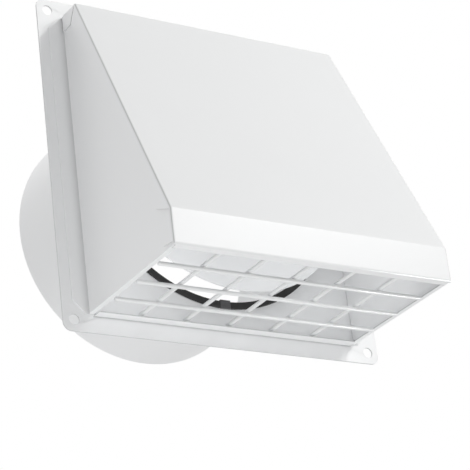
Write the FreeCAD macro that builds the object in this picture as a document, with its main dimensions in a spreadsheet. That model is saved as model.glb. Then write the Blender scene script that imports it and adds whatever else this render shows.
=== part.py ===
"""Wall vent cap in painted sheet steel: folded hood, round duct collar, hanging damper flap and wire guard.

Frame: the origin is on the duct axis in the wall plane (the rear face of the back plate), +Z is up,
the hood stands out towards -Y and the collar runs into the wall towards +Y. All lengths are millimetres.
"""
import FreeCAD, Part
import math
import os

import Sketcher

V = FreeCAD.Vector

# Driving dimensions. Rooms and gaps are measured between neighbouring pieces, so that a change of one
# size carries its neighbours along.
SIZES = {
    # duct collar
    "collar_diameter": 150.0,
    "collar_metal": 0.8,
    "collar_length": 88.0,
    "collar_lip": 2.3,
    "bead_height": 1.2,
    "bead_width": 3.0,
    # back plate
    "plate_metal": 1.0,
    "plate_corner": 5.0,
    "plate_border": 6.15,
    "collar_gap": 0.1,
    "screw_hole": 6.0,
    "screw_inset": 6.7,
    # hood sheets
    "sheet_metal": 0.8,
    "bend_inside": 0.4,
    "side_room": 10.25,
    "head_room": 15.3,
    "foot_room": 14.5,
    "hood_depth": 92.5,
    "top_depth": 16.7,
    "lip_height": 19.7,
    "lap_width": 10.0,
    "lap_slit": 0.3,
    "lap_trim": 2.6,
    "flange_width": 9.4,
    "flange_foot": 1.6,
    "top_border": 1.3,
    "front_return": 5.2,
    "side_return": 2.9,
    "return_gap": 0.2,
    "edge_gap": 0.4,
    "seat_gap": 0.3,
    # rear sill
    "sill_depth": 5.7,
    "sill_height": 8.0,
    # wire guard
    "wire_diameter": 2.3,
    # seal and magnet
    "seal_overhang": 1.7,
    "seal_height": 1.4,
    "seal_chamfer": 0.4,
    "magnet_width": 6.5,
    "magnet_height": 4.8,
    "magnet_gap": 0.2,
    # damper flap and its hinge
    "flap_metal": 0.8,
    "flap_margin": 1.1,
    "flap_gap": 0.3,
    "flap_rest_angle": 6.8,
    "rod_diameter": 3.0,
    "rod_fit": 0.05,
    "rod_rise": 5.8,
    "knuckle_length": 16.0,
    "knuckle_reach": 28.0,
    "ear_metal": 1.0,
    "ear_gap": 0.5,
    "ear_cover": 3.5,
    "ear_foot": 9.0,
    "clip_diameter": 6.4,
    "clip_metal": 0.8,
}

# How many wires the guard has each way.
CROSS_WIRES = 5
LONG_WIRES = 3

# Places that several pieces share, as expressions of the driving dimensions.
RADIUS = "(Sizes.collar_diameter / 2)"
FACE = "Sizes.plate_metal"
SHEET = "Sizes.sheet_metal"
BEND = "(Sizes.bend_inside + Sizes.sheet_metal)"
HALF = f"({RADIUS} + Sizes.side_room)"
CHEEK_OUT = f"({HALF} - {SHEET})"
CHEEK_IN = f"({HALF} - 2 * {SHEET})"
FLANGE_OUT = f"({CHEEK_OUT} + Sizes.flange_width)"
PLATE = f"({FLANGE_OUT} + Sizes.plate_border)"
TOP = f"({RADIUS} + Sizes.head_room)"
BOTTOM = f"(-{RADIUS} - Sizes.foot_room)"
FOLD = f"({BOTTOM} + Sizes.lip_height)"
APEX = f"({FACE} + Sizes.top_depth)"
FRONT = f"({FACE} + Sizes.hood_depth)"
SLOPE = f"atan(({FRONT} - {APEX}) / ({TOP} - {FOLD}))"
TOP_MITRE = f"tan(45 deg - {SLOPE} / 2)"
FOLD_MITRE = f"tan({SLOPE} / 2)"
RELIEF = f"({BEND} + Sizes.edge_gap)"
CHEEK_INSET = f"({BEND} + 2 * Sizes.edge_gap)"
RETURN_IN = f"({CHEEK_OUT} - Sizes.side_return)"
SILL_FRONT = f"({FACE} + Sizes.sill_depth)"
SILL_FOOT = f"({BOTTOM} - {SHEET})"
WIRE = "(Sizes.wire_diameter / 2)"
SEAL_BACK = f"({FACE} + Sizes.collar_metal)"
SEAL_FRONT = f"({SEAL_BACK} + Sizes.seal_height)"
SEAL_IN = f"({RADIUS} - Sizes.seal_overhang)"
SEAL_OUT = f"({RADIUS} + Sizes.collar_lip)"
FLAP_RADIUS = f"({SEAL_OUT} - Sizes.flap_margin)"
ROD = "(Sizes.rod_diameter / 2)"
KNUCKLE_BORE = f"({ROD} + Sizes.rod_fit)"
KNUCKLE = f"({KNUCKLE_BORE} + Sizes.flap_metal)"
HINGE_OUT = f"({SEAL_FRONT} + Sizes.flap_gap + {KNUCKLE})"
HINGE_UP = f"({FLAP_RADIUS} + Sizes.rod_rise)"
EAR_IN = "(Sizes.knuckle_reach + Sizes.knuckle_length / 2 + Sizes.ear_gap)"
EAR_OUT = f"({EAR_IN} + Sizes.ear_metal)"
CLIP_OUT = f"({EAR_OUT} + Sizes.clip_metal)"

doc = FreeCAD.newDocument("vent_cap")


def make_sheet():
    """Write the driving dimensions into the spreadsheet, one aliased cell each."""
    sheet = doc.addObject("Spreadsheet::Sheet", "Sizes")
    for row, (alias, value) in enumerate(SIZES.items(), start=1):
        sheet.set(f"A{row}", alias)
        sheet.set(f"B{row}", str(value))
        sheet.setAlias(f"B{row}", alias)
    doc.recompute()
    return sheet


def make_body(label):
    """Start a body that carries one piece."""
    body = doc.addObject("PartDesign::Body", label)
    body.Label = label
    return body


def start_sketch(body, name, role, lift):
    """Attach an empty sketch to one of the body's own planes, lifted along its normal."""
    sketch = body.newObject("Sketcher::SketchObject", f"{body.Name}_{name}")
    plane = [item for item in body.Origin.OriginFeatures if item.Role == role][0]
    sketch.AttachmentSupport = (plane, [""])
    sketch.MapMode = "FlatFace"
    if lift:
        sketch.setExpression("AttachmentOffset.Base.z", lift)
    return sketch


def hold(sketch, kind, geometry, point, expression, guess):
    """Tie one coordinate of a sketch point to an expression."""
    index = sketch.addConstraint(Sketcher.Constraint(kind, -1, 1, geometry, point, guess))
    sketch.setExpression(f"Constraints[{index}]", expression)


def add_polygon(sketch, corners):
    """Add a closed outline whose corners are pairs of expressions."""
    first = sketch.GeometryCount
    count = len(corners)
    turns = [2 * math.pi * index / count for index in range(count)]
    ring = [V(math.cos(turn), math.sin(turn), 0) for turn in turns]
    for index in range(count):
        sketch.addGeometry(Part.LineSegment(ring[index], ring[(index + 1) % count]), False)
    for index in range(count):
        following = first + (index + 1) % count
        sketch.addConstraint(Sketcher.Constraint("Coincident", first + index, 2, following, 1))
    for index, (across, along) in enumerate(corners):
        hold(sketch, "DistanceX", first + index, 1, across, ring[index].x)
        hold(sketch, "DistanceY", first + index, 1, along, ring[index].y)


def add_circle(sketch, across, along, radius):
    """Add a circle with its centre and radius tied to expressions."""
    index = sketch.addGeometry(Part.Circle(V(1, 1, 0), V(0, 0, 1), 1.0), False)
    radius_index = sketch.addConstraint(Sketcher.Constraint("Radius", index, 1.0))
    sketch.setExpression(f"Constraints[{radius_index}]", radius)
    hold(sketch, "DistanceX", index, 3, across, 1.0)
    hold(sketch, "DistanceY", index, 3, along, 1.0)


def add_pad(body, sketch, length, name="pad", symmetric=False):
    """Extrude a sketch along its normal, or evenly to both sides."""
    pad = body.newObject("PartDesign::Pad", f"{body.Name}_{name}")
    pad.Profile = sketch
    pad.setExpression("Length", length)
    if symmetric:
        pad.SideType = "Symmetric"
    doc.recompute()
    return pad


def add_pocket(body, sketch, length, name, symmetric=False, reverse=False):
    """Cut a sketch into the body and make sure that it removed material."""
    before = body.Shape.Volume
    pocket = body.newObject("PartDesign::Pocket", f"{body.Name}_{name}")
    pocket.Profile = sketch
    pocket.setExpression("Length", length)
    pocket.Reversed = reverse
    if symmetric:
        pocket.SideType = "Symmetric"
    doc.recompute()
    if not body.Shape.Volume < before:
        raise RuntimeError(f"{pocket.Name} cut nothing")
    return pocket


def add_revolution(body, sketch):
    """Turn a sketch a full turn about the sketch's vertical axis."""
    turned = body.newObject("PartDesign::Revolution", f"{body.Name}_turn")
    turned.Profile = sketch
    turned.ReferenceAxis = (sketch, ["V_Axis"])
    turned.Angle = 360
    doc.recompute()
    return turned


def number(expression):
    """Work out an expression of the driving dimensions as a plain number."""
    probe = doc.getObject("Probe") or doc.addObject("Part::Vertex", "Probe")
    probe.setExpression("X", expression)
    doc.recompute()
    return float(probe.X)


def edges_where(feature, test):
    """Name the straight edges of a feature whose two ends pass a test."""
    names = []
    for index, edge in enumerate(feature.Shape.Edges, start=1):
        ends = [vertex.Point for vertex in edge.Vertexes]
        if len(ends) == 2 and all(test(end) for end in ends):
            names.append(f"Edge{index}")
    return names


def near(first, second):
    """Tell whether two coordinates are the same place."""
    return abs(first - second) < 1e-4


def add_fillet(body, feature, names, radius, label):
    """Round the named edges of a feature."""
    fillet = body.newObject("PartDesign::Fillet", f"{body.Name}_{label}")
    fillet.Base = (feature, names)
    fillet.setExpression("Radius", radius)
    doc.recompute()
    return fillet


def make_back_plate():
    """Square wall plate with rounded corners, a screw hole in each corner and the duct opening."""
    body = make_body("back_plate")
    outline = start_sketch(body, "outline", "XZ_Plane", None)
    low = f"-{PLATE}"
    add_polygon(outline, [(low, low), (PLATE, low), (PLATE, PLATE), (low, PLATE)])
    pad = add_pad(body, outline, FACE)
    half = number(PLATE)
    thickness = number(FACE)
    corners = [f"Edge{index}" for index, edge in enumerate(pad.Shape.Edges, start=1)
               if near(edge.Length, thickness) and near(abs(edge.Vertexes[0].Point.x), half)]
    add_fillet(body, pad, corners, "Sizes.plate_corner", "corners")
    holes = start_sketch(body, "holes", "XZ_Plane", FACE)
    add_circle(holes, "0", "0", f"{RADIUS} + Sizes.collar_gap")
    inset = f"({PLATE} - Sizes.screw_inset)"
    for across in (inset, f"-{inset}"):
        for along in (inset, f"-{inset}"):
            add_circle(holes, across, along, "Sizes.screw_hole / 2")
    add_pocket(body, holes, f"2 * {FACE}", "openings")
    return body


def make_duct_collar():
    """Rolled tube through the plate: its lip lies on the front face, a swaged bead locks it behind."""
    body = make_body("duct_collar")
    inside = f"{RADIUS} - Sizes.collar_metal"
    bead = f"{RADIUS} + Sizes.bead_height"
    outline = start_sketch(body, "section", "XY_Plane", None)
    add_polygon(outline, [
        (inside, f"-{SEAL_BACK}"),
        (SEAL_OUT, f"-{SEAL_BACK}"),
        (SEAL_OUT, f"-{FACE}"),
        (RADIUS, f"-{FACE}"),
        (RADIUS, "0"),
        (bead, "Sizes.bead_height / 2"),
        (bead, "Sizes.bead_width - Sizes.bead_height / 2"),
        (RADIUS, "Sizes.bead_width"),
        (RADIUS, "Sizes.collar_length"),
        (inside, "Sizes.collar_length"),
    ])
    add_revolution(body, outline)
    return body


def lap_window():
    """Outline of what is cut from the hood's sides, so that only the folded laps stay on each side.

    The walk starts at the wall under the top lap and goes round the three laps, with a slit from each
    corner of the profile, then over the front return and back along the open bottom.
    """
    lap = "Sizes.lap_width"
    slit = "Sizes.lap_slit"
    sine, cosine = f"sin({SLOPE})", f"cos({SLOPE})"
    lap_back = f"({FACE} + {BEND} + Sizes.seat_gap)"
    mitre = f"({APEX} - {lap} * {TOP_MITRE})"
    slit_end = f"({APEX} - {RELIEF} * {TOP_MITRE})"
    places = [
        ("0", f"{TOP} - {RELIEF}"),
        (lap_back, f"{TOP} - {RELIEF}"),
        (lap_back, f"{TOP} - {lap}"),
        (f"{mitre} - {slit}", f"{TOP} - {lap}"),
        (f"{slit_end} - {slit}", f"{TOP} - {RELIEF}"),
        (f"{slit_end} + {slit} * {sine}", f"{TOP} - {RELIEF} - {slit} * {cosine}"),
        (f"{mitre} + {slit} * {sine}", f"{TOP} - {lap} - {slit} * {cosine}"),
        (f"{FRONT} - {lap} * ({sine} + {cosine})", f"{FOLD} + {lap} * ({cosine} - {sine})"),
        (f"{FRONT} - {RELIEF}", f"{FOLD} - {RELIEF} * {FOLD_MITRE}"),
        (f"{FRONT} - {lap}", f"{FOLD} - {lap} * {FOLD_MITRE} - 3 * {slit}"),
        (f"{FRONT} - {lap}", f"{BOTTOM} + Sizes.lap_trim"),
        (f"{FRONT} - {RELIEF}", f"{BOTTOM} + {RELIEF}"),
        (f"{FRONT} - {RELIEF}", f"{BOTTOM} + {SHEET}"),
        (f"{FRONT} - Sizes.front_return", f"{BOTTOM} + {SHEET}"),
        (f"{FRONT} - Sizes.front_return", f"{BOTTOM} - {BEND}"),
        ("0", f"{BOTTOM} - {BEND}"),
    ]
    return [(f"-({outward})", up) for outward, up in places]


def make_front_panel():
    """One blank folded into top, slope, front lip and bottom return, with laps that fold over the cheeks."""
    body = make_body("front_panel")
    profile = start_sketch(body, "profile", "YZ_Plane", None)
    add_polygon(profile, [
        (f"-{FACE}", TOP),
        (f"-{APEX}", TOP),
        (f"-{FRONT}", FOLD),
        (f"-{FRONT}", BOTTOM),
        (f"-{FACE}", BOTTOM),
    ])
    block = add_pad(body, profile, f"2 * {HALF}", "block", symmetric=True)
    half, bottom, rear = number(HALF), number(BOTTOM), -number(FACE)

    def fold_edges(feature, inset):
        """Name the edges where the blank is bent, on the outside or on the inside of the sheet."""
        floor, side, back = bottom + inset, half - inset, rear
        names = []
        for index, edge in enumerate(feature.Shape.Edges, start=1):
            ends = [vertex.Point for vertex in edge.Vertexes]
            on_sides = len(ends) == 2 and all(near(abs(end.x), side) for end in ends)
            at_wall = all(near(end.y, back) for end in ends)
            crosswise = on_sides and not near(ends[0].x, ends[1].x)
            at_foot = all(near(end.z, floor) for end in ends)
            reaches_wall = any(near(end.y, back) for end in ends)
            if not on_sides or at_wall or (at_foot and not crosswise) or (crosswise and reaches_wall):
                continue
            names.append(f"Edge{index}")
        return names

    rounded = add_fillet(body, block, fold_edges(block, 0.0), BEND, "folds")
    cavity = start_sketch(body, "cavity", "YZ_Plane", None)
    add_polygon(cavity, [
        ("0", f"{TOP} - {SHEET}"),
        (f"-({APEX} - {SHEET} * {TOP_MITRE})", f"{TOP} - {SHEET}"),
        (f"-({FRONT} - {SHEET})", f"{FOLD} - {SHEET} * {FOLD_MITRE}"),
        (f"-({FRONT} - {SHEET})", f"{BOTTOM} + {SHEET}"),
        ("0", f"{BOTTOM} + {SHEET}"),
    ])
    hollow = add_pocket(body, cavity, f"2 * ({HALF} - {SHEET})", "hollow", symmetric=True)
    add_fillet(body, hollow, fold_edges(hollow, number(SHEET)), "Sizes.bend_inside", "inner_folds")
    window = start_sketch(body, "window", "YZ_Plane", None)
    add_polygon(window, lap_window())
    add_pocket(body, window, f"3 * {HALF}", "laps", symmetric=True)
    return_end = f"({CHEEK_IN} - Sizes.return_gap)"
    past = f"(Sizes.front_return + {SHEET})"
    for side, sign in (("left", "-"), ("right", "")):
        notch = start_sketch(body, f"notch_{side}", "XY_Plane", f"{BOTTOM} - {SHEET}")
        add_polygon(notch, [
            (f"{sign}{return_end}", f"-({FRONT} - {RELIEF})"),
            (f"{sign}{return_end}", f"-({FRONT} - {past})"),
            (f"{sign}({HALF} + {SHEET})", f"-({FRONT} - {past})"),
            (f"{sign}({HALF} + {SHEET})", f"-({FRONT} - {RELIEF})"),
        ])
        add_pocket(body, notch, f"2 * {SHEET}", f"notch_cut_{side}", reverse=True)
    flange = start_sketch(body, "flange", "XZ_Plane", FACE)
    rise = f"({PLATE} - {TOP} - Sizes.top_border)"
    add_polygon(flange, [
        (f"-({HALF} - {RELIEF})", f"{TOP} - {SHEET}"),
        (f"{HALF} - {RELIEF}", f"{TOP} - {SHEET}"),
        (f"{HALF} - {RELIEF}", TOP),
        (f"{HALF} - {RELIEF} - {rise}", f"{TOP} + {rise}"),
        (f"-({HALF} - {RELIEF} - {rise})", f"{TOP} + {rise}"),
        (f"-({HALF} - {RELIEF})", TOP),
    ])
    add_pad(body, flange, SHEET, "flange_pad")
    return body


def make_cheek(side, sign):
    """Side wall of the hood: flange on the plate behind, return along the open bottom."""
    body = make_body(f"{side}_cheek")
    flip = "-" if sign < 0 else ""
    wall = start_sketch(body, "wall", "YZ_Plane", CHEEK_IN if sign > 0 else f"-{CHEEK_OUT}")
    add_polygon(wall, [
        (f"-{FACE}", f"{TOP} - {CHEEK_INSET}"),
        (f"-({APEX} - {CHEEK_INSET} * {TOP_MITRE})", f"{TOP} - {CHEEK_INSET}"),
        (f"-({FRONT} - {CHEEK_INSET})", f"{FOLD} - {CHEEK_INSET} * {FOLD_MITRE}"),
        (f"-({FRONT} - {CHEEK_INSET})", BOTTOM),
        (f"-{FACE}", BOTTOM),
    ])
    add_pad(body, wall, SHEET, "wall_pad")
    flange = start_sketch(body, "flange", "XZ_Plane", FACE)
    reach = f"({FLANGE_OUT} - {HALF})"
    add_polygon(flange, [
        (f"{flip}{CHEEK_IN}", BOTTOM),
        (f"{flip}({HALF} + Sizes.flange_foot)", BOTTOM),
        (f"{flip}{FLANGE_OUT}", f"{BOTTOM} + {reach} - Sizes.flange_foot"),
        (f"{flip}{FLANGE_OUT}", f"{TOP} - {reach}"),
        (f"{flip}({HALF} + {CHEEK_INSET})", f"{TOP} - {CHEEK_INSET}"),
        (f"{flip}{CHEEK_IN}", f"{TOP} - {CHEEK_INSET}"),
    ])
    joined = add_pad(body, flange, SHEET, "flange_pad")
    inner, outer = sign * number(CHEEK_IN), sign * number(CHEEK_OUT)
    rear, sheet = -number(FACE), number(SHEET)
    bottom = number(BOTTOM)
    wall_bend = edges_where(joined, lambda p: near(p.x, inner) and near(p.y, rear))
    outside = add_fillet(body, joined, wall_bend, BEND, "bend_outside")
    foot_bend = edges_where(outside, lambda p: near(p.x, outer) and near(p.y, rear - sheet))
    add_fillet(body, outside, foot_bend, "Sizes.bend_inside", "bend_inside")
    lip = start_sketch(body, "return", "XY_Plane", BOTTOM)
    lip_rear = f"-({FACE} + Sizes.seat_gap)"
    lip_front = f"-({FRONT} - Sizes.front_return - Sizes.return_gap)"
    add_polygon(lip, [
        (f"{flip}{CHEEK_OUT}", lip_rear),
        (f"{flip}{RETURN_IN}", lip_rear),
        (f"{flip}{RETURN_IN}", lip_front),
        (f"{flip}{CHEEK_OUT}", lip_front),
    ])
    turned = add_pad(body, lip, SHEET, "return_pad")
    lip_bend = edges_where(turned, lambda p: near(p.x, outer) and near(p.z, bottom))
    add_fillet(body, turned, lip_bend, "Sizes.bend_inside", "return_outside")
    return body


def make_rear_sill():
    """Angle strip along the foot of the plate, one sheet lower than the returns, behind the guard."""
    body = make_body("rear_sill")
    section = start_sketch(body, "section", "YZ_Plane", None)
    add_polygon(section, [
        (f"-{FACE}", SILL_FOOT),
        (f"-{SILL_FRONT}", SILL_FOOT),
        (f"-{SILL_FRONT}", BOTTOM),
        (f"-({FACE} + {SHEET})", BOTTOM),
        (f"-({FACE} + {SHEET})", f"{SILL_FOOT} + Sizes.sill_height"),
        (f"-{FACE}", f"{SILL_FOOT} + Sizes.sill_height"),
    ])
    pad = add_pad(body, section, f"2 * ({RETURN_IN} - Sizes.seat_gap)", "angle", symmetric=True)
    corner_y, corner_z = -number(f"{FACE} + {SHEET}"), number(BOTTOM)
    bend = edges_where(pad, lambda p: near(p.y, corner_y) and near(p.z, corner_z))
    add_fillet(body, pad, bend, "Sizes.bend_inside", "bend")
    return body


def make_rod(label, axis, length, radius, across, inward, up):
    """Round bar along X or Y, placed by the expressions of its starting end."""
    rod = doc.addObject("Part::Cylinder", label)
    rod.Label = label
    turn = FreeCAD.Rotation(V(0, 1, 0), 90) if axis == "x" else FreeCAD.Rotation(V(1, 0, 0), -90)
    rod.Placement = FreeCAD.Placement(V(0, 0, 0), turn)
    rod.setExpression("Radius", radius)
    rod.setExpression("Height", length)
    rod.setExpression("Placement.Base.x", across)
    rod.setExpression("Placement.Base.y", inward)
    rod.setExpression("Placement.Base.z", up)
    return rod


def make_guard():
    """Welded wire guard: cross wires lie on the front return, long wires hang under them."""
    wires = []
    cross_up = f"{BOTTOM} + {SHEET} + {WIRE}"
    cross_start = f"-({FRONT} - {BEND} - Sizes.seat_gap)"
    cross_length = f"{FRONT} - {BEND} - {FACE} - {BEND} - 2 * Sizes.seat_gap"
    for index in range(CROSS_WIRES):
        place = f"{RETURN_IN} * {2 * (index + 1) / (CROSS_WIRES + 1) - 1}"
        label = f"cross_wire_{index + 1}"
        wires.append(make_rod(label, "y", cross_length, WIRE, place, cross_start, cross_up))
    long_up = f"{cross_up} - Sizes.wire_diameter"
    long_end = f"({RETURN_IN} - Sizes.return_gap)"
    for index in range(LONG_WIRES):
        share = 1 - (index + 1) / (LONG_WIRES + 1)
        outward = f"-({FACE} + Sizes.hood_depth * {share})"
        label = f"long_wire_{index + 1}"
        wires.append(make_rod(label, "x", f"2 * {long_end}", WIRE, f"-{long_end}", outward, long_up))
    return wires


def make_seal_ring():
    """Rubber ring on the collar's lip that the flap closes on, parted at the foot for the magnet."""
    body = make_body("seal_ring")
    section = start_sketch(body, "section", "XY_Plane", None)
    bevel = "Sizes.seal_chamfer"
    add_polygon(section, [
        (SEAL_IN, f"-{SEAL_BACK}"),
        (SEAL_OUT, f"-{SEAL_BACK}"),
        (SEAL_OUT, f"-({SEAL_FRONT} - {bevel})"),
        (f"{SEAL_OUT} - {bevel}", f"-{SEAL_FRONT}"),
        (f"{SEAL_IN} + {bevel}", f"-{SEAL_FRONT}"),
        (SEAL_IN, f"-({SEAL_FRONT} - {bevel})"),
    ])
    add_revolution(body, section)
    part_line = start_sketch(body, "parting", "XZ_Plane", FACE)
    half = "(Sizes.magnet_width / 2 + Sizes.magnet_gap)"
    add_polygon(part_line, [
        (f"-{half}", "0"), (f"-{half}", f"-{SEAL_OUT} - 1"), (half, f"-{SEAL_OUT} - 1"), (half, "0")])
    add_pocket(body, part_line, f"3 * {SEAL_FRONT}", "gap", symmetric=True)
    return body


def make_magnet():
    """Small block magnet at the foot of the opening, flush with the front of the seal."""
    block = doc.addObject("Part::Box", "magnet")
    block.Label = "magnet"
    block.setExpression("Length", "Sizes.magnet_width")
    block.setExpression("Width", "Sizes.seal_height")
    block.setExpression("Height", "Sizes.magnet_height")
    block.setExpression("Placement.Base.x", "-Sizes.magnet_width / 2")
    block.setExpression("Placement.Base.y", f"-{SEAL_FRONT}")
    block.setExpression("Placement.Base.z", f"-{SEAL_OUT}")
    return block


def make_damper_flap():
    """Round flap with two rolled knuckles, drawn shut about its hinge and turned to its resting angle."""
    body = make_body("damper_flap")
    disc = start_sketch(body, "disc", "XZ_Plane", f"-{KNUCKLE}")
    add_circle(disc, "0", f"-{HINGE_UP}", FLAP_RADIUS)
    add_pad(body, disc, "Sizes.flap_metal", "disc_pad")
    for side, sign in (("left", "-"), ("right", "")):
        start = f"{sign}Sizes.knuckle_reach - Sizes.knuckle_length / 2"
        leaf = start_sketch(body, f"leaf_{side}", "XZ_Plane", f"-{KNUCKLE}")
        low, high = f"({start})", f"({start} + Sizes.knuckle_length)"
        rooted = f"-2 * Sizes.rod_rise - {KNUCKLE} - Sizes.knuckle_reach / 2"
        add_polygon(leaf, [(low, rooted), (high, rooted), (high, "0"), (low, "0")])
        add_pad(body, leaf, "Sizes.flap_metal", f"leaf_pad_{side}")
        roll = start_sketch(body, f"roll_{side}", "YZ_Plane", low)
        add_circle(roll, "0", "0", KNUCKLE)
        add_pad(body, roll, "Sizes.knuckle_length", f"roll_pad_{side}")
    bore = start_sketch(body, "bore", "YZ_Plane", None)
    add_circle(bore, "0", "0", KNUCKLE_BORE)
    add_pocket(body, bore, f"4 * {EAR_OUT}", "bores", symmetric=True)
    body.Placement = FreeCAD.Placement(V(0, 0, 0), FreeCAD.Rotation(V(-1, 0, 0), SIZES["flap_rest_angle"]))
    body.setExpression("Placement.Base.y", f"-{HINGE_OUT}")
    body.setExpression("Placement.Base.z", HINGE_UP)
    body.setExpression("Placement.Rotation.Angle", "Sizes.flap_rest_angle")
    return body


def make_ear(side, sign):
    """Hinge ear: a foot on the plate and an upright leg that holds the end of the rod."""
    body = make_body(f"{side}_hinge_ear")
    low = f"({HINGE_UP} - Sizes.ear_cover)"
    high = f"({HINGE_UP} + Sizes.ear_cover)"
    flip = "-" if sign < 0 else ""
    foot = start_sketch(body, "foot", "XZ_Plane", FACE)
    add_polygon(foot, [
        (f"{flip}{EAR_IN}", low),
        (f"{flip}({EAR_IN} + Sizes.ear_foot)", low),
        (f"{flip}({EAR_IN} + Sizes.ear_foot)", high),
        (f"{flip}{EAR_IN}", high),
    ])
    add_pad(body, foot, "Sizes.ear_metal", "foot_pad")
    leg = start_sketch(body, "leg", "YZ_Plane", EAR_IN if sign > 0 else f"-{EAR_OUT}")
    add_polygon(leg, [
        (f"-{FACE}", low),
        (f"-({HINGE_OUT} + Sizes.ear_cover)", low),
        (f"-({HINGE_OUT} + Sizes.ear_cover)", high),
        (f"-{FACE}", high),
    ])
    joined = add_pad(body, leg, "Sizes.ear_metal", "leg_pad")
    tip = -number(f"{HINGE_OUT} + Sizes.ear_cover")
    corners = [f"Edge{index}" for index, edge in enumerate(joined.Shape.Edges, start=1)
               if all(near(vertex.Point.y, tip) for vertex in edge.Vertexes)
               and not near(edge.Vertexes[0].Point.x, edge.Vertexes[1].Point.x)]
    add_fillet(body, joined, corners, "Sizes.ear_cover - 2 * Sizes.edge_gap", "nose")
    bore = start_sketch(body, "bore", "YZ_Plane", None)
    add_circle(bore, f"-{HINGE_OUT}", HINGE_UP, KNUCKLE_BORE)
    add_pocket(body, bore, f"4 * {EAR_OUT}", "bore_cut", symmetric=True)
    return body


def make_clips():
    """Two push-on clips that keep the rod in its ears, as one group of separate solids."""
    washers = []
    for side, start in (("left", f"-{CLIP_OUT}"), ("right", EAR_OUT)):
        place = (start, f"-{HINGE_OUT}", HINGE_UP)
        disc = make_rod(f"clip_disc_{side}", "x", "Sizes.clip_metal", "Sizes.clip_diameter / 2", *place)
        bore = make_rod(f"clip_bore_{side}", "x", "Sizes.clip_metal", KNUCKLE_BORE, *place)
        washer = doc.addObject("Part::Cut", f"clip_{side}")
        washer.Base = disc
        washer.Tool = bore
        washers.append(washer)
    group = doc.addObject("Part::Compound", "rod_clips")
    group.Label = "rod_clips"
    group.Links = washers
    return group


def make_all():
    """Build every piece and return the objects that are written out, one node each."""
    pieces = [make_back_plate(), make_duct_collar(), make_front_panel()]
    pieces += [make_cheek("left", -1), make_cheek("right", 1), make_rear_sill()]
    pieces += make_guard()
    pieces += [make_seal_ring(), make_magnet(), make_damper_flap()]
    pieces += [make_ear("left", -1), make_ear("right", 1)]
    rod_length = f"2 * ({CLIP_OUT} + Sizes.clip_metal)"
    rod_start = f"-({CLIP_OUT} + Sizes.clip_metal)"
    pieces.append(make_rod("hinge_rod", "x", rod_length, ROD, rod_start, f"-{HINGE_OUT}", HINGE_UP))
    pieces.append(make_clips())
    doc.recompute()
    return pieces


def write_pieces(pieces):
    """Check that every object is sound, then write one file for each piece."""
    for item in doc.Objects:
        if "Invalid" in item.State or "Error" in item.State:
            raise RuntimeError(f"{item.Name} failed: {item.State}")
    for piece in pieces:
        if piece.Shape.isNull() or not piece.Shape.isValid() or not piece.Shape.Solids:
            raise RuntimeError(f"{piece.Label} has no sound shape")
    os.makedirs("parts", exist_ok=True)
    for piece in pieces:
        piece.Shape.exportStep(f"parts/{piece.Label}.step")
        print(piece.Label, len(piece.Shape.Solids), round(piece.Shape.Volume, 2))


make_sheet()
write_pieces(make_all())
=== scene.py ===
"""Looks of a wall-mounted dryer vent cap: painted sheet metal, coated wire guard, rubber seal and studio."""
import logging
import math
from dataclasses import dataclass, replace
from enum import Enum
from functools import cache

import bmesh
import bpy
from mathutils import Matrix, Vector


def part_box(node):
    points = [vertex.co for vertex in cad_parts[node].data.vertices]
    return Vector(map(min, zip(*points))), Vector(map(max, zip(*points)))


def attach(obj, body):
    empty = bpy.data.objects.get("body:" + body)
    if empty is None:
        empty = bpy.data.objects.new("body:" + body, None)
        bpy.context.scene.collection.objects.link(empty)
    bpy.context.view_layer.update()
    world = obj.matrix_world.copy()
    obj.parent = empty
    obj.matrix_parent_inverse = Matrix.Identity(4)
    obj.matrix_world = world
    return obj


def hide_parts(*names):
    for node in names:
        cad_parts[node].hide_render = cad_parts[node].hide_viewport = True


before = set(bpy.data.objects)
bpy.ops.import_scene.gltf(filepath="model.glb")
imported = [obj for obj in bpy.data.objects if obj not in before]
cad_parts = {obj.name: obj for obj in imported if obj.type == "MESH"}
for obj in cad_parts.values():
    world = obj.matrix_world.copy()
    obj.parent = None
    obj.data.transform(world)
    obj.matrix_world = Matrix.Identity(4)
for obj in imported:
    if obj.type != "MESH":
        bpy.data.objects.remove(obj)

log = logging.getLogger("vent_cap")

MM = 0.001
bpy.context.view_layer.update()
# Points of a CAD mesh that lie nearer to each other than this are one point.
MERGE_MM = 0.002
# Face attribute that is 1 on the narrow faces that cutting left on a sheet.
CUT_MARK = "cut_face"
# Edge attribute that the Bevel modifier reads.
BEVEL_WEIGHT = "bevel_weight_edge"
GUARD_PIECES = ("cross_wires", "long_wires", "guard_welds")

Colour = tuple[float, float, float]
Triple = tuple[float, float, float]
Number = float | bpy.types.NodeSocket


class Body(Enum):
    """Rigid bodies of the cap that a piece can ride on."""

    CAP = "cap"
    FLAP = "flap"


class Slot(Enum):
    """Material slots of the record."""

    PAINT = "white_paint"
    WIRE = "wire_coat"
    FLAP = "flap_paint"
    RUBBER = "black_rubber"
    MAGNET = "dark_magnet"
    STEEL = "bright_steel"


class TreeKind(Enum):
    """Kinds of node group."""

    SHADER = "ShaderNodeTree"
    GEOMETRY = "GeometryNodeTree"


class SocketKind(Enum):
    """Kinds of socket on a node group."""

    NUMBER = "NodeSocketFloat"
    COUNT = "NodeSocketInt"
    VECTOR = "NodeSocketVector"
    COLOUR = "NodeSocketColor"
    GEOMETRY = "NodeSocketGeometry"
    MATERIAL = "NodeSocketMaterial"


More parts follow.
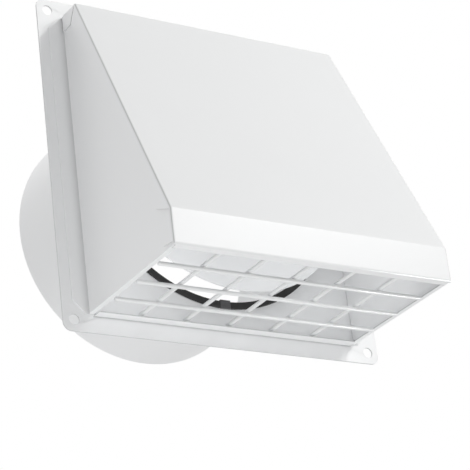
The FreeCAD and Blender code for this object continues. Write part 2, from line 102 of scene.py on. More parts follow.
class Desk:
    """A node tree on which nodes are placed and joined."""

    def __init__(self, tree: bpy.types.NodeTree) -> None:
        """Keep the tree that is worked on.

        Args:
            tree: Shader or geometry tree.
        """
        self.tree = tree

    def add(self, kind: str, **settings: object) -> bpy.types.Node:
        """Place a node and set its own properties.

        Args:
            kind: Blender's name of the node type.
            **settings: Properties of the node, such as its operation.

        Returns:
            The new node.
        """
        node = self.tree.nodes.new(kind)
        for name, value in settings.items():
            setattr(node, name, value)
        return node

    def join(self, source: bpy.types.NodeSocket, target: bpy.types.NodeSocket) -> None:
        """Link an output socket to an input socket."""
        self.tree.links.new(source, target)

    def feed(self, target: bpy.types.NodeSocket, value: object) -> None:
        """Give an input socket its value.

        Args:
            target: Input socket.
            value: Output socket to link, or a plain value to set.
        """
        if isinstance(value, bpy.types.NodeSocket):
            self.join(value, target)
        else:
            target.default_value = value

    def math(self, operation: str, first: Number, second: Number = 0.0) -> bpy.types.NodeSocket:
        """Place a Math node.

        Args:
            operation: Name of the operation, such as MULTIPLY.
            first: Socket or number for the first input.
            second: Socket or number for the second input.

        Returns:
            The node's output socket.
        """
        node = self.add("ShaderNodeMath", operation=operation)
        self.feed(node.inputs[0], first)
        self.feed(node.inputs[1], second)
        return node.outputs[0]

    def split(self, vector: bpy.types.NodeSocket) -> bpy.types.NodeOutputs:
        """Take a vector apart.

        Args:
            vector: Socket that carries the vector.

        Returns:
            Sockets named X, Y and Z.
        """
        node = self.add("ShaderNodeSeparateXYZ")
        self.join(vector, node.inputs[0])
        return node.outputs

    def dim(self, colour: bpy.types.NodeSocket, gain: bpy.types.NodeSocket) -> bpy.types.NodeSocket:
        """Multiply a colour by a number.

        Args:
            colour: Socket that carries the colour.
            gain: Socket that carries the number.

        Returns:
            Socket with the changed colour.
        """
        node = self.add("ShaderNodeVectorMath", operation="SCALE")
        self.join(colour, node.inputs[0])
        self.join(gain, node.inputs["Scale"])
        return node.outputs[0]

    def noise(self, vector: bpy.types.NodeSocket, size: bpy.types.NodeSocket, detail: float,
              roughness: float = 0.5) -> bpy.types.NodeSocket:
        """Place a noise texture whose blotches have a given size.

        Args:
            vector: Place on the surface.
            size: Size of a blotch in metres.
            detail: Number of finer layers.
            roughness: Strength of each finer layer against the one before it.

        Returns:
            Socket with the noise, from 0 to 1.
        """
        node = self.add("ShaderNodeTexNoise")
        node.inputs["Detail"].default_value = detail
        node.inputs["Roughness"].default_value = roughness
        self.join(vector, node.inputs["Vector"])
        self.join(self.math("DIVIDE", 1.0, size), node.inputs["Scale"])
        return node.outputs["Fac"]

    def place_group(self, tree: bpy.types.NodeTree, values: dict[str, object]) -> bpy.types.Node:
        """Place a shader group and give it its inputs.

        Args:
            tree: Group to place.
            values: Socket or plain value for each input's name.

        Returns:
            The group node.
        """
        node = self.add("ShaderNodeGroup", node_tree=tree)
        for label, value in values.items():
            self.feed(node.inputs[label], value)
        return node


class GroupDesk(Desk):
    """A node group in the making, with its own input and output nodes."""

    def __init__(self, name: str, kind: TreeKind, inputs: dict[str, SocketKind],
                 outputs: dict[str, SocketKind]) -> None:
        """Start a node group with named sockets.

        Args:
            name: Name of the group.
            kind: Kind of the group.
            inputs: Kind of socket for each input's name.
            outputs: Kind of socket for each output's name.
        """
        super().__init__(bpy.data.node_groups.new(name, kind.value))
        for side, sockets in (("INPUT", inputs), ("OUTPUT", outputs)):
            for label, socket in sockets.items():
                self.tree.interface.new_socket(name=label, in_out=side, socket_type=socket.value)
        self.entry = self.add("NodeGroupInput")
        self.leave = self.add("NodeGroupOutput")

    def given(self, label: str) -> bpy.types.NodeSocket:
        """Find the socket that carries one of the group's inputs."""
        return self.entry.outputs[label]

    def put_out(self, label: str, source: bpy.types.NodeSocket) -> None:
        """Join a socket to one of the group's outputs."""
        self.join(source, self.leave.inputs[label])

    def put_out_shapes(self, shapes: bpy.types.NodeSocket) -> None:
        """End a geometry tree with real meshes that have the material of its Finish input.

        Args:
            shapes: Socket that carries the instances.
        """
        real = self.add("GeometryNodeRealizeInstances")
        paint = self.add("GeometryNodeSetMaterial")
        self.join(shapes, real.inputs["Geometry"])
        self.join(real.outputs["Geometry"], paint.inputs["Geometry"])
        self.join(self.given("Finish"), paint.inputs["Material"])
        self.put_out("Geometry", paint.outputs["Geometry"])


class SkinGroups:
    """Shader groups that several finishes share, each built once."""

    PATCH_DETAIL = 4.0
    PATCH_ROUGHNESS = 0.55
    SKIN_DETAIL = 2.0
    PEBBLE_SHARE = 0.35
    RIPPLE_SHARE = 0.65
    UNDER_FOLD_SHARE = 0.4

    @staticmethod
    @cache
    def patches() -> bpy.types.NodeTree:
        """Slow drift of a colour over the surface, as film thickness and handling give it.

        Returns:
            Group with inputs Vector, Colour, Spread and Patch Size and outputs Colour and Mask.
        """
        desk = GroupDesk(
            "film_patches", TreeKind.SHADER,
            {"Vector": SocketKind.VECTOR, "Colour": SocketKind.COLOUR, "Spread": SocketKind.NUMBER,
             "Patch Size": SocketKind.NUMBER},
            {"Colour": SocketKind.COLOUR, "Mask": SocketKind.NUMBER})
        drift = desk.noise(desk.given("Vector"), desk.given("Patch Size"), SkinGroups.PATCH_DETAIL,
                           SkinGroups.PATCH_ROUGHNESS)
        centred = desk.math("SUBTRACT", drift, 0.5)
        gain = desk.math("ADD", desk.math("MULTIPLY", centred, desk.given("Spread")), 1.0)
        desk.put_out("Colour", desk.dim(desk.given("Colour"), gain))
        desk.put_out("Mask", drift)
        return desk.tree

    @staticmethod
    @cache
    def peel() -> bpy.types.NodeTree:
        """Fine pebbling of a baked or moulded skin, with a longer ripple under it.

        Returns:
            Group with inputs Vector, Pebble and Ripple and output Height.
        """
        desk = GroupDesk(
            "skin_peel", TreeKind.SHADER,
            {"Vector": SocketKind.VECTOR, "Pebble": SocketKind.NUMBER, "Ripple": SocketKind.NUMBER},
            {"Height": SocketKind.NUMBER})
        pebble = desk.noise(desk.given("Vector"), desk.given("Pebble"), SkinGroups.SKIN_DETAIL)
        ripple = desk.noise(desk.given("Vector"), desk.given("Ripple"), SkinGroups.SKIN_DETAIL)
        fine = desk.math("MULTIPLY", pebble, SkinGroups.PEBBLE_SHARE)
        coarse = desk.math("MULTIPLY", ripple, SkinGroups.RIPPLE_SHARE)
        desk.put_out("Height", desk.math("ADD", fine, coarse))
        return desk.tree

    @staticmethod
    @cache
    def fold_mask() -> bpy.types.NodeTree:
        """Crest of a tight fold, darkened as a thin line of painted shade: upright folds, and weaker ones
        under the lip.

        Returns:
            Group with input Normal and output Mask.
        """
        desk = GroupDesk(
            "fold_mask", TreeKind.SHADER, {"Normal": SocketKind.VECTOR}, {"Mask": SocketKind.NUMBER})
        normal = desk.split(desk.given("Normal"))
        square = desk.math("MULTIPLY", normal["X"], normal["X"])
        off_middle = desk.math("ABSOLUTE", desk.math("SUBTRACT", desk.math("MULTIPLY", square, 2.0), 1.0))
        upright = desk.math("SUBTRACT", 1.0, off_middle)
        slant = desk.math("MULTIPLY", normal["Y"], normal["Z"])
        under = desk.math("MULTIPLY", slant, SkinGroups.UNDER_FOLD_SHARE)
        desk.put_out("Mask", desk.math("MAXIMUM", upright, under))
        return desk.tree

    @staticmethod
    @cache
    def corner_mask() -> bpy.types.NodeTree:
        """Flat strip beside an inside corner, darkened as painted shade, fading away from the corner.

        Returns:
            Group with inputs Over, Run, Depth, Across, Reach, Wall, Back and Width and output Mask.
        """
        labels = ("Over", "Run", "Depth", "Across", "Reach", "Wall", "Back", "Width")
        desk = GroupDesk(
            "corner_mask", TreeKind.SHADER, {label: SocketKind.NUMBER for label in labels},
            {"Mask": SocketKind.NUMBER})
        away = desk.math("SUBTRACT", desk.math("ABSOLUTE", desk.given("Over")), desk.given("Across"))
        near = desk.math("SUBTRACT", 1.0, desk.math("DIVIDE", away, desk.given("Width")))
        outside = desk.math("GREATER_THAN", away, 0.0)
        fade = desk.math("MULTIPLY", desk.math("MAXIMUM", near, 0.0), outside)
        behind = desk.math("GREATER_THAN", desk.given("Depth"), desk.given("Wall"))
        in_front = desk.math("LESS_THAN", desk.given("Depth"), desk.given("Back"))
        within = desk.math("LESS_THAN", desk.math("ABSOLUTE", desk.given("Run")), desk.given("Reach"))
        strip = desk.math("MULTIPLY", desk.math("MULTIPLY", behind, in_front), within)
        desk.put_out("Mask", desk.math("MULTIPLY", desk.math("MULTIPLY", fade, fade), strip))
        return desk.tree

    @staticmethod
    @cache
    def thin_coat() -> bpy.types.NodeTree:
        """Greyer paint where a mask says so: painted shade at folds and inside corners, and on cut faces a
        thinner coat together with painted shade.

        Returns:
            Group with inputs Colour, Mask and Strength and output Colour.
        """
        desk = GroupDesk(
            "thin_coat", TreeKind.SHADER,
            {"Colour": SocketKind.COLOUR, "Mask": SocketKind.NUMBER, "Strength": SocketKind.NUMBER},
            {"Colour": SocketKind.COLOUR})
        loss = desk.math("MULTIPLY", desk.given("Mask"), desk.given("Strength"))
        desk.put_out("Colour", desk.dim(desk.given("Colour"), desk.math("SUBTRACT", 1.0, loss)))
        return desk.tree


class CornerRun(Enum):
    """Ways that an inside corner runs on the wall side: axis that leads away from it, then axis along it."""

    UPRIGHT = ("X", "Z")
    LEVEL = ("Z", "X")


@dataclass(frozen=True)
class InsideCorner:
    """Place of an inside corner between a flat wall and what stands on it, and how dark its painted shade
    gets.
    """

    run: CornerRun
    across_mm: float
    reach_mm: float
    width_mm: float
    strength: float
    wall_mm: float = -2.1
    back_mm: float = -0.5

    def mask(self, desk: Desk, place: bpy.types.Node) -> bpy.types.NodeSocket:
        """Place the mask of this corner in a material.

        Args:
            desk: Desk of the material.
            place: Texture coordinate node.

        Returns:
            Socket with the mask.
        """
        spot = desk.split(place.outputs["Object"])
        over, along = self.run.value
        strip = desk.place_group(SkinGroups.corner_mask(), {
            "Over": spot[over], "Run": spot[along], "Depth": spot["Y"],
            "Across": self.across_mm * MM, "Reach": self.reach_mm * MM, "Wall": self.wall_mm * MM,
            "Back": self.back_mm * MM, "Width": self.width_mm * MM})
        return strip.outputs["Mask"]


@dataclass(frozen=True)
class Finish:
    """A coated or moulded surface: a base colour that drifts, a roughness that follows it, a fine skin."""

    name: str
    colour: Colour
    roughness: float
    roughness_spread: float
    tone_spread: float
    patch_mm: float
    pebble_mm: float
    ripple_mm: float
    skin_depth_mm: float
    metallic: float = 0.0
    specular: float = 0.5
    ior: float = 1.5
    fold_shade: float = 0.0
    cut_shade: float = 0.0
    corner: InsideCorner | None = None

    def make(self) -> bpy.types.Material:
        """Build the finish as a node material.

        Returns:
            The material, made once and found again by its name.
        """
        known = bpy.data.materials.get(self.name)
        if known:
            return known
        material = bpy.data.materials.new(self.name)
        material.use_nodes = True
        desk = Desk(material.node_tree)
        shader = material.node_tree.nodes["Principled BSDF"]
        place = desk.add("ShaderNodeTexCoord")
        patches = desk.place_group(SkinGroups.patches(), {
            "Vector": place.outputs["Object"], "Colour": (*self.colour, 1.0), "Spread": self.tone_spread,
            "Patch Size": self.patch_mm * MM})
        colour = patches.outputs["Colour"]
        for mask, strength in self.darkened_places(desk, place):
            greyed = desk.place_group(
                SkinGroups.thin_coat(), {"Colour": colour, "Mask": mask, "Strength": strength})
            colour = greyed.outputs["Colour"]
        centred = desk.math("SUBTRACT", patches.outputs["Mask"], 0.5)
        swing = desk.math("MULTIPLY", centred, self.roughness_spread)
        desk.join(colour, shader.inputs["Base Color"])
        desk.join(desk.math("ADD", swing, self.roughness), shader.inputs["Roughness"])
        desk.join(self.skin(desk, place), shader.inputs["Normal"])
        shader.inputs["Metallic"].default_value = self.metallic
        shader.inputs["Specular IOR Level"].default_value = self.specular
        shader.inputs["IOR"].default_value = self.ior
        return material

    def skin(self, desk: Desk, place: bpy.types.Node) -> bpy.types.NodeSocket:
        """Place the bump of the fine skin.

        Args:
            desk: Desk of the material.
            place: Texture coordinate node.

        Returns:
            Socket with the bumped normal.
        """
        peel = desk.place_group(SkinGroups.peel(), {
            "Vector": place.outputs["Object"], "Pebble": self.pebble_mm * MM, "Ripple": self.ripple_mm * MM})
        bump = desk.add("ShaderNodeBump")
        bump.inputs["Strength"].default_value = 1.0
        bump.inputs["Distance"].default_value = self.skin_depth_mm * MM
        desk.join(peel.outputs["Height"], bump.inputs["Height"])
        return bump.outputs["Normal"]

    def darkened_places(self, desk: Desk, place: bpy.types.Node) -> list[tuple[bpy.types.NodeSocket, float]]:
        """Place the masks of the spots that this finish paints greyer: painted shade at folds and inside
        corners, and the cut faces.

        Args:
            desk: Desk of the material.
            place: Texture coordinate node.

        Returns:
            Mask and strength for each kind of spot.
        """
        found = []
        if self.fold_shade > 0.0:
            fold = desk.place_group(SkinGroups.fold_mask(), {"Normal": place.outputs["Normal"]})
            found.append((fold.outputs["Mask"], self.fold_shade))
        # Cut faces paint greyer: partly a thinner coat on sharp edges, partly painted shade that draws dark
        # edge lines and shaded hole walls.
        if self.cut_shade > 0.0:
            cut = desk.add("ShaderNodeAttribute", attribute_name=CUT_MARK)
            found.append((cut.outputs["Fac"], self.cut_shade))
        if self.corner:
            found.append((self.corner.mask(desk, place), self.corner.strength))
        return found


# Painted shade: a band on the cheek flanges beside their fold, and a thin line on the plate under the sill.
CHEEK_CORNER = InsideCorner(CornerRun.UPRIGHT, across_mm=84.45, reach_mm=95.0, width_mm=6.0, strength=0.3)
SILL_SEAM = InsideCorner(CornerRun.LEVEL, across_mm=90.3, reach_mm=82.0, width_mm=1.6, strength=0.4)

PAINT = Finish(
    "white_powder_coat", colour=(0.87, 0.877, 0.884), roughness=0.34, roughness_spread=0.05,
    tone_spread=0.012, patch_mm=60.0, pebble_mm=0.55, ripple_mm=2.2, skin_depth_mm=0.006, cut_shade=0.3)
PLATE_PAINT = replace(PAINT, name="plate_powder_coat", corner=SILL_SEAM)
# Front panel: painted shade along the crest of its folds, and lighter greying of its cut faces.
FOLDED_PAINT = replace(PAINT, name="folded_powder_coat", fold_shade=0.4, cut_shade=0.22)
CHEEK_PAINT = replace(PAINT, name="cheek_powder_coat", corner=CHEEK_CORNER)
# The flap wears the same white coat, made darker here as painted shade so it stays dim under the hood fill
# lamps.
FLAP_PAINT = replace(
    PAINT, name="flap_powder_coat", colour=(0.835, 0.842, 0.85), roughness=0.36, cut_shade=0.0)
WIRE_COAT = Finish(
    "wire_coating", colour=(0.835, 0.843, 0.847), roughness=0.3, roughness_spread=0.06,
    tone_spread=0.02, patch_mm=8.0, pebble_mm=0.4, ripple_mm=1.4, skin_depth_mm=0.008)
RUBBER = Finish(
    "black_rubber", colour=(0.012, 0.012, 0.013), roughness=0.62, roughness_spread=0.1,
    tone_spread=0.3, patch_mm=6.0, pebble_mm=0.25, ripple_mm=0.9, skin_depth_mm=0.01, specular=0.35)
FERRITE = Finish(
    "dark_ferrite", colour=(0.1, 0.1, 0.103), roughness=0.5, roughness_spread=0.12,
    tone_spread=0.3, patch_mm=2.0, pebble_mm=0.2, ripple_mm=0.6, skin_depth_mm=0.01)
ZINC = Finish(
    "bright_zinc", colour=(0.66, 0.67, 0.68), roughness=0.28, roughness_spread=0.12,
    tone_spread=0.12, patch_mm=5.0, pebble_mm=0.3, ripple_mm=1.2, skin_depth_mm=0.004, metallic=1.0)
FLOOR_COAT = Finish(
    "pale_floor", colour=(0.93, 0.93, 0.93), roughness=0.8, roughness_spread=0.05,
    tone_spread=0.01, patch_mm=400.0, pebble_mm=2.0, ripple_mm=9.0, skin_depth_mm=0.02)


def new_object(name: str, mesh: bpy.types.Mesh) -> bpy.types.Object:
    """Put a mesh into the scene as an object at the origin."""
    piece = bpy.data.objects.new(name, mesh)
    bpy.context.scene.collection.objects.link(piece)
    return piece


def weigh_normals(mesh: bpy.types.Mesh, smooth_below_deg: float = 40.0) -> None:
    """Set shading normals so that bends run smoothly into large flat faces and cut edges stay crisp.

    Each corner takes the mean normal of the faces around its point that lie within the given angle of its own
    face, weighed by their area.

    Args:
        mesh: Mesh to shade.
        smooth_below_deg: Widest angle between faces that shade as one surface.
    """
    least = math.cos(math.radians(smooth_below_deg))
    around: dict[int, list[bpy.types.MeshPolygon]] = {}
    for face in mesh.polygons:
        for point in face.vertices:
            around.setdefault(point, []).append(face)
    normals = [Vector((0.0, 0.0, 1.0))] * len(mesh.loops)
    for face in mesh.polygons:
        own = face.normal
        for corner, point in zip(face.loop_indices, face.vertices):
            mean = own * face.area
            for other in around[point]:
                if other.index != face.index and own.dot(other.normal) > least:
                    mean = mean + other.normal * other.area
            normals[corner] = mean.normalized() if mean.length > 0.0 else own
    mesh.shade_smooth()
    mesh.normals_split_custom_set(normals)


def settle(piece: bpy.types.Object) -> None:
    """Turn an object with modifiers into a plain mesh.

    Args:
        piece: Object whose modifiers are applied and removed.
    """
    graph = bpy.context.evaluated_depsgraph_get()
    plain = bpy.data.meshes.new_from_object(piece.evaluated_get(graph))
    piece.modifiers.clear()
    piece.data = plain


def gather_area(start: bmesh.types.BMFace, sharp: float,
                seen: set[bmesh.types.BMFace]) -> tuple[list[bmesh.types.BMFace], float]:
    """Gather the faces that hang together with a face and end at sharp edges.

    Args:
        start: Face to start from.
        sharp: Least angle between the two faces of a sharp edge, in radians.
        seen: Faces met so far, to which the gathered ones are added.

    Returns:
        The faces, and the mean width of the area that they make, in metres.
    """
    seen.add(start)
    members, queue = [], [start]
    area, rim = 0.0, 0.0
    while queue:
        face = queue.pop()
        members.append(face)
        area += face.calc_area()
        for edge in face.edges:
            if edge.calc_face_angle(math.pi) > sharp:
                rim += edge.calc_length()
                continue
            fresh = [other for other in edge.link_faces if other not in seen]
            seen.update(fresh)
            queue.extend(fresh)
    return members, 2.0 * area / rim if rim > 0.0 else math.inf


def find_cut_faces(work: bmesh.types.BMesh, sharp: float,
                   thinner_than_mm: float = 1.4) -> list[bmesh.types.BMFace]:
    """Find the narrow faces that cutting left between the two sides of a sheet.

    Args:
        work: Mesh to search.
        sharp: Least angle between the two faces of a sharp edge, in radians.
        thinner_than_mm: Mean width under which an area is a cut.

    Returns:
        The faces of all the cuts.
    """
    cut: list[bmesh.types.BMFace] = []
    seen: set[bmesh.types.BMFace] = set()
    for start in work.faces:
        if start not in seen:
            members, width = gather_area(start, sharp, seen)
            if width < thinner_than_mm * MM:
                cut.extend(members)
    return cut


def mark_cuts(mesh: bpy.types.Mesh, sharper_than_deg: float = 50.0) -> None:
    """Mark the narrow cut faces, and weigh the outward edges so that only those are rounded.

    Args:
        mesh: Mesh whose faces and edges are marked.
        sharper_than_deg: Least angle between the two faces of such an edge.
    """
    sharp = math.radians(sharper_than_deg)
    work = bmesh.new()
    work.from_mesh(mesh)
    weight = work.edges.layers.float.new(BEVEL_WEIGHT)
    for edge in work.edges:
        edge[weight] = 1.0 if edge.calc_face_angle_signed(0.0) > sharp else 0.0
    mark = work.faces.layers.float.new(CUT_MARK)
    for face in find_cut_faces(work, sharp):
        face[mark] = 1.0
    work.to_mesh(mesh)
    work.free()


def soften_edges(piece: bpy.types.Object, width_mm: float, steps: int = 2) -> None:
    """Round the cut edges of a piece a little and set its shading normals.

    Args:
        piece: Object to finish.
        width_mm: Width of the rounding.
        steps: Segments over the rounding.
    """
    mark_cuts(piece.data)
    bevel = piece.modifiers.new("edge_round", "BEVEL")
    bevel.width = width_mm * MM
    bevel.segments = steps
    bevel.limit_method = "WEIGHT"
    bevel.use_clamp_overlap = False
    settle(piece)
    weigh_normals(piece.data)


def enter_piece(piece: bpy.types.Object, body: Body, slot: Slot, *nodes: str) -> None:
    """Attach a finished piece to the empty of its body, hide the CAD nodes that it stands for, and log its
    face count.

    Args:
        piece: Finished piece.
        body: Body that the piece rides on.
        slot: Material slot of the record. Not used.
        *nodes: CAD nodes that the piece stands for, if any.
    """
    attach(piece, body.value)
    if nodes:
        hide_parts(*nodes)
    log.info("%s: %d faces", piece.name, len(piece.data.polygons))


def dressed_copy(node: str, finish: Finish, body: Body, slot: Slot, edge_mm: float) -> None:
    """Make a finished piece from a CAD node: a merged copy with rounded cut edges and one finish.

    Args:
        node: CAD node that the piece stands for.
        finish: Surface of the piece.
        body: Body that the piece rides on.
        slot: Material slot of the record.
        edge_mm: Rounding of the cut edges.
    """
    mesh = bpy.data.meshes.new(f"{node}_piece")
    work = bmesh.new()
    work.from_mesh(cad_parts[node].data)
    bmesh.ops.remove_doubles(work, verts=work.verts, dist=MERGE_MM * MM)
    work.to_mesh(mesh)
    work.free()
    mesh.materials.clear()
    mesh.materials.append(finish.make())
    for polygon in mesh.polygons:
        polygon.material_index = 0
    piece = new_object(f"{node}_piece", mesh)
    soften_edges(piece, edge_mm)
    enter_piece(piece, body, slot, node)


@dataclass
class Hood:
    """Sheet-metal pieces: wall plate, collar, folded front, cheeks and sill."""

    sheet_edge_mm: float = 0.16
    collar_edge_mm: float = 0.2

    def build(self) -> None:
        """Make and paint the sheet-metal pieces."""
        dressed_copy("back_plate", PLATE_PAINT, Body.CAP, Slot.PAINT, self.sheet_edge_mm)
        dressed_copy("rear_sill", PAINT, Body.CAP, Slot.PAINT, self.sheet_edge_mm)
        for node in ("left_cheek", "right_cheek"):
            dressed_copy(node, CHEEK_PAINT, Body.CAP, Slot.PAINT, self.sheet_edge_mm)
        dressed_copy("front_panel", FOLDED_PAINT, Body.CAP, Slot.PAINT, self.sheet_edge_mm)
        dressed_copy("duct_collar", PAINT, Body.CAP, Slot.PAINT, self.collar_edge_mm)


@dataclass
class Damper:
    """Swinging flap with its hinge, rubber seal and holding magnet."""

    flap_edge_mm: float = 0.16
    rubber_edge_mm: float = 0.2
    hinge_edge_mm: float = 0.12

    def build(self) -> None:
        """Make and dress the damper's pieces."""
        dressed_copy("damper_flap", FLAP_PAINT, Body.FLAP, Slot.FLAP, self.flap_edge_mm)
        dressed_copy("seal_ring", RUBBER, Body.CAP, Slot.RUBBER, self.rubber_edge_mm)
        dressed_copy("magnet", FERRITE, Body.CAP, Slot.MAGNET, self.rubber_edge_mm)
        for node in ("left_hinge_ear", "right_hinge_ear", "hinge_rod", "rod_clips"):
            dressed_copy(node, ZINC, Body.CAP, Slot.STEEL, self.hinge_edge_mm)


def middle(node: str) -> Vector:
    """Find the centre of a CAD node's box."""
    low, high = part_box(node)
    return (low + high) / 2


def point_cloud(name: str, places: list[Vector]) -> bpy.types.Object:
    """Make an object of loose points that a geometry tree puts shapes on.

    Args:
        name: Name of the object.
        places: Place of each point.

    Returns:
        The new object.
    """
    mesh = bpy.data.meshes.new(name)
    mesh.from_pydata([tuple(place) for place in places], [], [])
    return new_object(name, mesh)


def run_tree(piece: bpy.types.Object, tree: bpy.types.NodeTree, values: dict[str, object]) -> None:
    """Run a geometry tree on an object and keep the result as a plain mesh.

    Args:
        piece: Object whose mesh feeds the tree.
        tree: Geometry tree with named inputs.
        values: Value for each input's name.
    """
    modifier = piece.modifiers.new(tree.name, "NODES")
    modifier.node_group = tree
    for item in tree.interface.items_tree:
        if item.in_out == "INPUT" and item.name in values:
            modifier[item.identifier] = values[item.name]
    settle(piece)


class WireRun(Enum):
    """Ways that a guard wire runs: index of its axis, and the turn that lays an upright rod along it."""

    FRONT_TO_BACK = (1, (math.pi / 2, 0.0, 0.0))
    SIDE_TO_SIDE = (0, (0.0, math.pi / 2, 0.0))


@dataclass
class WireGuard:
    """Welded guard under the hood: cross wires, long wires under them and the welds at each crossing."""

    cross_nodes: tuple[str, ...] = tuple(f"cross_wire_{index}" for index in range(1, 6))
    long_nodes: tuple[str, ...] = tuple(f"long_wire_{index}" for index in range(1, 4))
    sides: int = 28
    end_round_mm: float = 0.35
    weld_width: float = 0.62
    weld_height: float = 0.3
    weld_sides: int = 16
    weld_rings: int = 10

    @staticmethod
    def rod_tree() -> bpy.types.NodeTree:
        """Tree that sets one round rod on each point.

        Returns:
            Tree with inputs Geometry, Radius, Length, Sides, Turn and Finish.
        """
        desk = GroupDesk(
            "rods_on_points", TreeKind.GEOMETRY,
            {"Geometry": SocketKind.GEOMETRY, "Radius": SocketKind.NUMBER, "Length": SocketKind.NUMBER,
             "Sides": SocketKind.COUNT, "Turn": SocketKind.VECTOR, "Finish": SocketKind.MATERIAL},
            {"Geometry": SocketKind.GEOMETRY})
        rod = desk.add("GeometryNodeMeshCylinder")
        desk.join(desk.given("Sides"), rod.inputs["Vertices"])
        desk.join(desk.given("Radius"), rod.inputs["Radius"])
        desk.join(desk.given("Length"), rod.inputs["Depth"])
        spread = desk.add("GeometryNodeInstanceOnPoints")
        desk.join(desk.given("Geometry"), spread.inputs["Points"])
        desk.join(rod.outputs["Mesh"], spread.inputs["Instance"])
        desk.join(desk.given("Turn"), spread.inputs["Rotation"])
        desk.put_out_shapes(spread.outputs["Instances"])
        return desk.tree

    @staticmethod
    def weld_tree() -> bpy.types.NodeTree:
        """Tree that sets one flattened weld nugget on each point.

        Returns:
            Tree with inputs Geometry, Size, Sides, Rings and Finish.
        """
        desk = GroupDesk(
            "welds_on_points", TreeKind.GEOMETRY,
            {"Geometry": SocketKind.GEOMETRY, "Size": SocketKind.VECTOR, "Sides": SocketKind.COUNT,
             "Rings": SocketKind.COUNT, "Finish": SocketKind.MATERIAL},
            {"Geometry": SocketKind.GEOMETRY})
        nugget = desk.add("GeometryNodeMeshUVSphere")
        nugget.inputs["Radius"].default_value = 1.0
        desk.join(desk.given("Sides"), nugget.inputs["Segments"])
        desk.join(desk.given("Rings"), nugget.inputs["Rings"])
        spread = desk.add("GeometryNodeInstanceOnPoints")
        desk.join(desk.given("Geometry"), spread.inputs["Points"])
        desk.join(nugget.outputs["Mesh"], spread.inputs["Instance"])
        desk.join(desk.given("Size"), spread.inputs["Scale"])
        desk.put_out_shapes(spread.outputs["Instances"])
        return desk.tree

    def build(self) -> None:
        """Make the wires and their welds."""
        tree = self.rod_tree()
        cross_name, long_name, weld_name = GUARD_PIECES
        self.lay_wires(cross_name, tree, self.cross_nodes, WireRun.FRONT_TO_BACK)
        self.lay_wires(long_name, tree, self.long_nodes, WireRun.SIDE_TO_SIDE)
        self.add_welds(weld_name)

    def lay_wires(self, name: str, tree: bpy.types.NodeTree, nodes: tuple[str, ...], run: WireRun) -> None:
        """Make one layer of parallel wires as a single piece.

        Args:
            name: Name of the piece.
            tree: Tree that sets rods on points.
            nodes: CAD nodes that the layer stands for.
            run: Way that the wires run.
        """
        axis, turn = run.value
        low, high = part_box(nodes[0])
        span = high - low
        piece = point_cloud(name, [middle(node) for node in nodes])
        run_tree(piece, tree, {
            "Radius": span.z / 2, "Length": span[axis], "Sides": self.sides, "Turn": turn,
            "Finish": WIRE_COAT.make()})
        soften_edges(piece, self.end_round_mm)
        enter_piece(piece, Body.CAP, Slot.WIRE, *nodes)

    def add_welds(self, name: str) -> None:
        """Put a weld nugget between the two layers at each crossing.

        Args:
            name: Name of the piece.
        """
        low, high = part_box(self.cross_nodes[0])
        radius = (high.z - low.z) / 2
        places = []
        for cross in self.cross_nodes:
            for along in self.long_nodes:
                places.append(Vector((middle(cross).x, middle(along).y, low.z)))
        piece = point_cloud(name, places)
        width, height = radius * self.weld_width, radius * self.weld_height
        run_tree(piece, self.weld_tree(), {
            "Size": (width, width, height), "Sides": self.weld_sides, "Rings": self.weld_rings,
            "Finish": WIRE_COAT.make()})
        weigh_normals(piece.data)
        enter_piece(piece, Body.CAP, Slot.WIRE)


@dataclass(frozen=True)
class SoftBox:
    """A square studio lamp that faces the object, or a place on it."""

    name: str
    towards: Triple
    distance: float
    size: float
    watts: float
    aim: Triple = (0.0, 0.0, 0.0)
    tint: Colour = (1.0, 1.0, 1.0)
    gloss_only: bool = False
    passes_by: tuple[str, ...] = ()

    def hang(self) -> None:
        """Put the lamp into the scene."""
        lamp = bpy.data.lights.new(self.name, "AREA")
        lamp.shape = "SQUARE"
        lamp.size = self.size
        lamp.energy = self.watts
        lamp.color = self.tint
        holder = bpy.data.objects.new(self.name, lamp)
        bpy.context.scene.collection.objects.link(holder)
        direction = Vector(self.towards).normalized()
        holder.location = Vector(self.aim) + direction * self.distance
        holder.rotation_mode = "QUATERNION"
        holder.rotation_quaternion = (-direction).to_track_quat("-Z", "Y")
        holder.visible_camera = False
        holder.visible_diffuse = not self.gloss_only
        if self.passes_by:
            holder.light_linking.receiver_collection = self.unlit_pieces()

    def unlit_pieces(self) -> bpy.types.Collection:
        """Gather the pieces that the lamp passes by.

        Returns:
            Collection that keeps the lamp's light off those pieces.
        """
        unlit = bpy.data.collections.new(f"unlit_by_{self.name}")
        for name in self.passes_by:
            unlit.objects.link(bpy.data.objects[name])
        for member in unlit.collection_objects:
            member.light_linking.link_state = "EXCLUDE"
        return unlit


WARM_WHITE = (1.0, 1.0, 0.985)

# Lamps around the cap.
OUTER_LAMPS = (
    SoftBox("key", towards=(0.49, -0.59, 0.64), distance=1.3, size=0.09, watts=3.5, tint=WARM_WHITE),
    SoftBox("front", towards=(0.51, -0.76, 0.41), distance=1.2, size=0.3, watts=3.3, tint=WARM_WHITE),
    SoftBox("below", towards=(0.1, -0.45, -0.9), distance=0.57, size=1.4, watts=1.25),
    SoftBox("low_front", towards=(-0.1, -0.85, -0.5), distance=1.05, size=0.8, watts=0.55),
    SoftBox("low_left", towards=(-0.5, -0.2, -0.85), distance=0.58, size=0.5, watts=0.65),
    SoftBox("left", towards=(-0.85, -0.42, -0.1), distance=1.6, size=1.0, watts=2.3),
    SoftBox("back_left", towards=(-0.35, 0.45, 0.82), distance=1.6, size=0.8, watts=7.6),
)

# Shine on the right-hand ends of the long wires.
GLINT = SoftBox(
    "guard_glint", towards=(0.5, -0.5, -0.7), distance=0.22, size=0.05, watts=0.4,
    aim=(0.08, -0.047, -0.09), gloss_only=True)

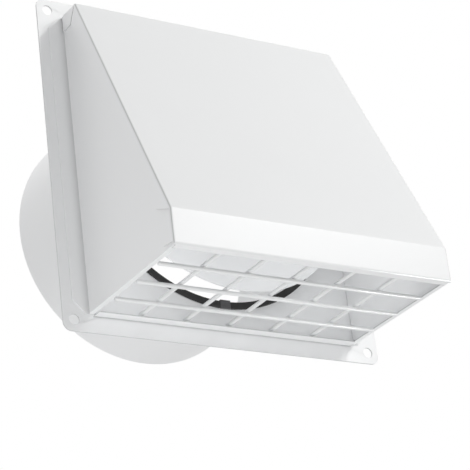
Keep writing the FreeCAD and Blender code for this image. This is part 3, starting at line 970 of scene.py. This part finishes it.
# Faint lamps inside the hood that lift the shade on plate and flap.
HOOD_FILLS = (
    SoftBox("hood_fill", towards=(0.0, -0.904, 0.428), distance=0.0575, size=0.13, watts=0.0172,
            aim=(0.0, 0.0, -0.016), passes_by=GUARD_PIECES),
    SoftBox("hood_fill_left", towards=(0.0, -1.0, 0.02), distance=0.064, size=0.026, watts=0.008,
            aim=(-0.06, 0.0, -0.074), passes_by=GUARD_PIECES),
    SoftBox("hood_fill_low", towards=(0.0, -1.0, 0.02), distance=0.064, size=0.026, watts=0.0018,
            aim=(0.0, 0.0, -0.074)),
    SoftBox("hood_fill_right", towards=(0.0, -0.97, 0.24), distance=0.072, size=0.03, watts=0.0058,
            aim=(0.045, 0.0, -0.072)),
)


def seen_rays(desk: Desk) -> bpy.types.NodeSocket:
    """Tell rays that show a surface to the eye, straight or reflected, from rays that light it.

    Args:
        desk: Desk of the material or world.

    Returns:
        Socket that is 1 for rays that show and 0 for rays that light.
    """
    rays = desk.add("ShaderNodeLightPath")
    seen = desk.math("MAXIMUM", rays.outputs["Is Camera Ray"], rays.outputs["Is Transmission Ray"])
    return desk.math("MAXIMUM", seen, rays.outputs["Is Glossy Ray"])


@dataclass
class Studio:
    """Floor, even white surroundings, lamps and the camera that stands where the photographer stood."""

    floor_drop: float = 1.4
    floor_half: float = 14.0
    floor_glow: float = 0.28
    ambient: float = 0.42
    camera_place: Triple = (-0.573668, -0.872989, -0.499381)
    camera_aim: Triple = (0.013218, -0.001, -0.030486)
    camera_roll_deg: float = -7.0972
    lens_mm: float = 157.608
    sensor_mm: float = 36.0
    clip_near: float = 0.05
    clip_far: float = 60.0
    lamps: tuple[SoftBox, ...] = (*OUTER_LAMPS, GLINT, *HOOD_FILLS)

    def build(self) -> None:
        """Set up surroundings, lamps, floor and camera."""
        bpy.context.scene.view_settings.view_transform = "Standard"
        self.paint_world()
        for lamp in self.lamps:
            lamp.hang()
        self.lay_floor()
        self.place_camera()

    def paint_world(self) -> None:
        """Give even light from all sides, seen as plain white by the camera and in reflections."""
        world = bpy.data.worlds.new("surroundings")
        bpy.context.scene.world = world
        world.use_nodes = True
        desk = Desk(world.node_tree)
        shade = world.node_tree.nodes["Background"]
        shade.inputs["Color"].default_value = (1.0, 1.0, 1.0, 1.0)
        lift = desk.math("MULTIPLY", seen_rays(desk), 1.0 - self.ambient)
        desk.join(desk.math("ADD", lift, self.ambient), shade.inputs["Strength"])

    def lay_floor(self) -> None:
        """Lay a pale floor well under the cap, below the camera."""
        half, height = self.floor_half, -self.floor_drop
        mesh = bpy.data.meshes.new("floor")
        corners = [(-half, -half, height), (half, -half, height), (half, half, height), (-half, half, height)]
        mesh.from_pydata(corners, [], [(0, 1, 2, 3)])
        floor = new_object("floor", mesh)
        coat = FLOOR_COAT.make()
        desk = Desk(coat.node_tree)
        shader = coat.node_tree.nodes["Principled BSDF"]
        shader.inputs["Emission Color"].default_value = (1.0, 1.0, 1.0, 1.0)
        glow = desk.math("MULTIPLY", seen_rays(desk), self.floor_glow)
        desk.join(glow, shader.inputs["Emission Strength"])
        mesh.materials.append(coat)

    def place_camera(self) -> None:
        """Stand the camera at the photograph's viewing angle."""
        lens = bpy.data.cameras.new("camera")
        lens.lens = self.lens_mm
        lens.sensor_width = self.sensor_mm
        lens.clip_start = self.clip_near
        lens.clip_end = self.clip_far
        camera = bpy.data.objects.new("camera", lens)
        bpy.context.scene.collection.objects.link(camera)
        place, aim = Vector(self.camera_place), Vector(self.camera_aim)
        turn = (aim - place).to_track_quat("-Z", "Y").to_matrix()
        roll = Matrix.Rotation(math.radians(self.camera_roll_deg), 3, "Z")
        camera.matrix_world = Matrix.Translation(place) @ (turn @ roll).to_4x4()
        bpy.context.scene.camera = camera


def main() -> None:
    """Build the cap's sub-assemblies and the studio in order."""
    logging.basicConfig(level=logging.INFO, format="%(name)s: %(message)s")
    for assembly in (Hood(), Damper(), WireGuard(), Studio()):
        assembly.build()
        log.info("%s done", type(assembly).__name__)


if __name__ == "__main__":
    main()
